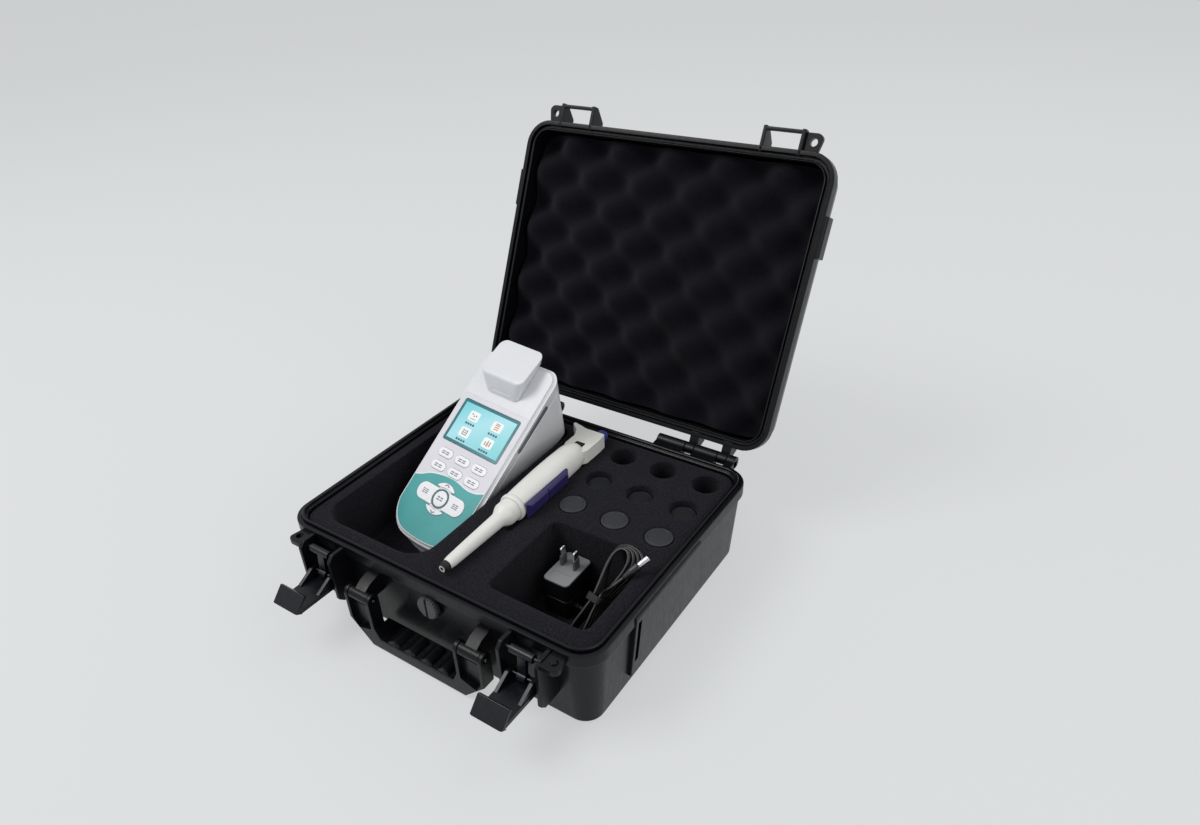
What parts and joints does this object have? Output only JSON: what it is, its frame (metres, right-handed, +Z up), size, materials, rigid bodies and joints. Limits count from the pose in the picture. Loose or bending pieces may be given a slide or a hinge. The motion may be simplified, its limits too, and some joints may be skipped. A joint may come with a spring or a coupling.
{
  "type": "water quality meter kit",
  "caption": "Portable photometer in a hinged, latched carry case with foam pockets, a pipette, capped sample vials and a power adapter with a wound cord.",
  "frame": {"origin": "centre of the case base's underside", "axes": "+X to the right across the case seen from its latch side, +Y from the latches to the lid hinges, +Z up"},
  "size_m": [0.322, 0.475, 0.3392],
  "materials": {
    "case_shell": "satin black polypropylene, lightly grained",
    "latch": "satin black with a slight blue tint",
    "foam": "matt charcoal foam, fine open cells",
    "rubber": "matt black rubber",
    "steel": "bright steel",
    "valve": "matt dark grey",
    "meter_shell": "satin white plastic",
    "overlay": "satin printed film, lavender grey above teal",
    "screen": null,
    "key": "satin white rubber",
    "well": "matt dark grey",
    "ivory": "satin ivory plastic",
    "navy": "satin navy plastic",
    "blue": "satin blue plastic",
    "adapter": "satin dark grey plastic",
    "cord": "satin black cord jacket",
    "vial": "matt dark grey cap and bottle"
  },
  "bodies": {
    "case": {"base_shell": "case_shell", "base_foam": "foam", "hinge_pin_left": "steel", "hinge_pin_right": "steel", "handle_pin_left": "case_shell", "handle_pin_right": "case_shell", "link_pin_left": "steel", "link_pin_right": "steel", "valve_body": "case_shell", "adapter_housing": "adapter", "adapter_prong_left": "steel", "adapter_prong_right": "steel", "strain_relief": "cord", "cord_lead": "cord", "cord_hank": "cord", "cord_tail": "cord", "cord_tie": "cord", "dc_plug": "cord"},
    "lid": {"lid_shell": "case_shell", "lid_gasket": "rubber", "lid_foam": "foam"},
    "handle": {"carry_handle": "case_shell"},
    "valve_knob": {"valve_knob": "valve"},
    "meter": {"meter_lower_housing": "meter_shell", "meter_upper_housing": "meter_shell", "meter_face_overlay": "overlay", "meter_screen": "screen", "cover_hinge_pin": "steel", "cuvette_well": "well", "battery_cover": "meter_shell"},
    "cuvette_cover": {"cuvette_cover": "meter_shell"},
    "pipette": {"pipette_body": "ivory", "nose_cone": "ivory", "side_panel": "navy", "tip_collar": "rubber"},
    "plunger": {"plunger_button": "blue"},
    "ejector": {"ejector_button": "blue"},
    "latch_link_left": {"latch_link_left": "latch", "lever_pin_left": "steel"},
    "latch_lever_left": {"latch_lever_left": "latch"},
    "latch_link_right": {"latch_link_right": "latch", "lever_pin_right": "steel"},
    "latch_lever_right": {"latch_lever_right": "latch"},
    "soft_key_1_1": {"soft_key_1_1": "key"},
    "soft_key_1_2": {"soft_key_1_2": "key"},
    "soft_key_1_3": {"soft_key_1_3": "key"},
    "soft_key_2_1": {"soft_key_2_1": "key"},
    "soft_key_2_2": {"soft_key_2_2": "key"},
    "soft_key_2_3": {"soft_key_2_3": "key"},
    "arrow_key_left": {"arrow_key_left": "key"},
    "arrow_key_right": {"arrow_key_right": "key"},
    "arrow_key_up": {"arrow_key_up": "key"},
    "arrow_key_down": {"arrow_key_down": "key"},
    "enter_key": {"enter_key": "key"},
    "vial_1": {"vial_1": "vial"},
    "vial_2": {"vial_2": "vial"},
    "vial_3": {"vial_3": "vial"},
    "vial_4": {"vial_4": "vial"},
    "vial_5": {"vial_5": "vial"},
    "vial_6": {"vial_6": "vial"}
  },
  "joints": [
    {"name": "lid_hinge", "type": "hinge", "parent": "case", "child": "lid", "pos_m": [0, 0.1414, 0.0782], "axis": [1, 0, 0], "range_deg": [0, 114.7], "deforming": ["lid_foam"]},
    {"name": "handle_swing", "type": "hinge", "parent": "case", "child": "handle", "pos_m": [0, -0.144, 0.05], "axis": [-1, 0, 0], "range_deg": [0, 100]},
    {"name": "valve_turn", "type": "hinge", "parent": "case", "child": "valve_knob", "pos_m": [0.005, -0.132, 0.058], "axis": [0, -1, 0], "range_deg": [0, 180]},
    {"name": "meter_lie", "type": "hinge", "parent": "case", "child": "meter", "pos_m": [-0.03638, -0.07954, 0.13696], "axis": [-0.9434, 0.0618, 0.3257], "range_deg": [0, 22.76]},
    {"name": "cover_hinge", "type": "hinge", "parent": "meter", "child": "cuvette_cover", "pos_m": [-0.05772, 0.08864, 0.16176], "axis": [0.9914, -0.1305, 0], "range_deg": [-95, 0]},
    {"name": "pipette_lift", "type": "slide", "parent": "case", "child": "pipette", "axis": [0, 0, -1], "range_m": [-0.04, 0]},
    {"name": "plunger_press", "type": "slide", "parent": "pipette", "child": "plunger", "axis": [0, 1, 0], "range_m": [-0.007, 0], "stiffness_N_per_m": 200},
    {"name": "ejector_press", "type": "slide", "parent": "pipette", "child": "ejector", "axis": [0, 1, 0], "range_m": [-0.004, 0], "stiffness_N_per_m": 200},
    {"name": "link_swing_left", "type": "hinge", "parent": "case", "child": "latch_link_left", "pos_m": [-0.105, -0.139, 0.072], "axis": [1, 0, 0], "range_deg": [-20, 0]},
    {"name": "lever_swing_left", "type": "hinge", "parent": "latch_link_left", "child": "latch_lever_left", "pos_m": [-0.105, -0.1415, 0.05], "axis": [-1, 0, 0], "range_deg": [0, 88.7]},
    {"name": "link_swing_right", "type": "hinge", "parent": "case", "child": "latch_link_right", "pos_m": [0.105, -0.139, 0.072], "axis": [1, 0, 0], "range_deg": [-20, 0]},
    {"name": "lever_swing_right", "type": "hinge", "parent": "latch_link_right", "child": "latch_lever_right", "pos_m": [0.105, -0.1415, 0.05], "axis": [-1, 0, 0], "range_deg": [0, 88.7]},
    {"name": "soft_key_1_1_press", "type": "slide", "parent": "meter", "child": "soft_key_1_1", "axis": [-0.0787, -0.598, 0.7976], "range_m": [-0.0008, 0], "stiffness_N_per_m": 200},
    {"name": "soft_key_1_2_press", "type": "slide", "parent": "meter", "child": "soft_key_1_2", "axis": [-0.0787, -0.598, 0.7976], "range_m": [-0.0008, 0], "stiffness_N_per_m": 200},
    {"name": "soft_key_1_3_press", "type": "slide", "parent": "meter", "child": "soft_key_1_3", "axis": [-0.0787, -0.598, 0.7976], "range_m": [-0.0008, 0], "stiffness_N_per_m": 200},
    {"name": "soft_key_2_1_press", "type": "slide", "parent": "meter", "child": "soft_key_2_1", "axis": [-0.0787, -0.598, 0.7976], "range_m": [-0.0008, 0], "stiffness_N_per_m": 200},
    {"name": "soft_key_2_2_press", "type": "slide", "parent": "meter", "child": "soft_key_2_2", "axis": [-0.0787, -0.598, 0.7976], "range_m": [-0.0008, 0], "stiffness_N_per_m": 200},
    {"name": "soft_key_2_3_press", "type": "slide", "parent": "meter", "child": "soft_key_2_3", "axis": [-0.0787, -0.598, 0.7976], "range_m": [-0.0008, 0], "stiffness_N_per_m": 200},
    {"name": "arrow_key_left_press", "type": "slide", "parent": "meter", "child": "arrow_key_left", "axis": [-0.0787, -0.598, 0.7976], "range_m": [-0.0008, 0], "stiffness_N_per_m": 200},
    {"name": "arrow_key_right_press", "type": "slide", "parent": "meter", "child": "arrow_key_right", "axis": [-0.0787, -0.598, 0.7976], "range_m": [-0.0008, 0], "stiffness_N_per_m": 200},
    {"name": "arrow_key_up_press", "type": "slide", "parent": "meter", "child": "arrow_key_up", "axis": [-0.0787, -0.598, 0.7976], "range_m": [-0.0008, 0], "stiffness_N_per_m": 200},
    {"name": "arrow_key_down_press", "type": "slide", "parent": "meter", "child": "arrow_key_down", "axis": [-0.0787, -0.598, 0.7976], "range_m": [-0.0008, 0], "stiffness_N_per_m": 200},
    {"name": "enter_key_press", "type": "slide", "parent": "meter", "child": "enter_key", "axis": [-0.0787, -0.598, 0.7976], "range_m": [-0.0008, 0], "stiffness_N_per_m": 200},
    {"name": "vial_1_lift", "type": "slide", "parent": "case", "child": "vial_1", "axis": [0, 0, -1], "range_m": [-0.065, 0]},
    {"name": "vial_2_lift", "type": "slide", "parent": "case", "child": "vial_2", "axis": [0, 0, -1], "range_m": [-0.065, 0]},
    {"name": "vial_3_lift", "type": "slide", "parent": "case", "child": "vial_3", "axis": [0, 0, -1], "range_m": [-0.065, 0]},
    {"name": "vial_4_lift", "type": "slide", "parent": "case", "child": "vial_4", "axis": [0, 0, -1], "range_m": [-0.065, 0]},
    {"name": "vial_5_lift", "type": "slide", "parent": "case", "child": "vial_5", "axis": [0, 0, -1], "range_m": [-0.065, 0]},
    {"name": "vial_6_lift", "type": "slide", "parent": "case", "child": "vial_6", "axis": [0, 0, -1], "range_m": [-0.065, 0]}
  ],
  "couplings": [
    {"joint": "meter_lie", "follows": "lid_hinge", "ratio": 0.1984}
  ]
}
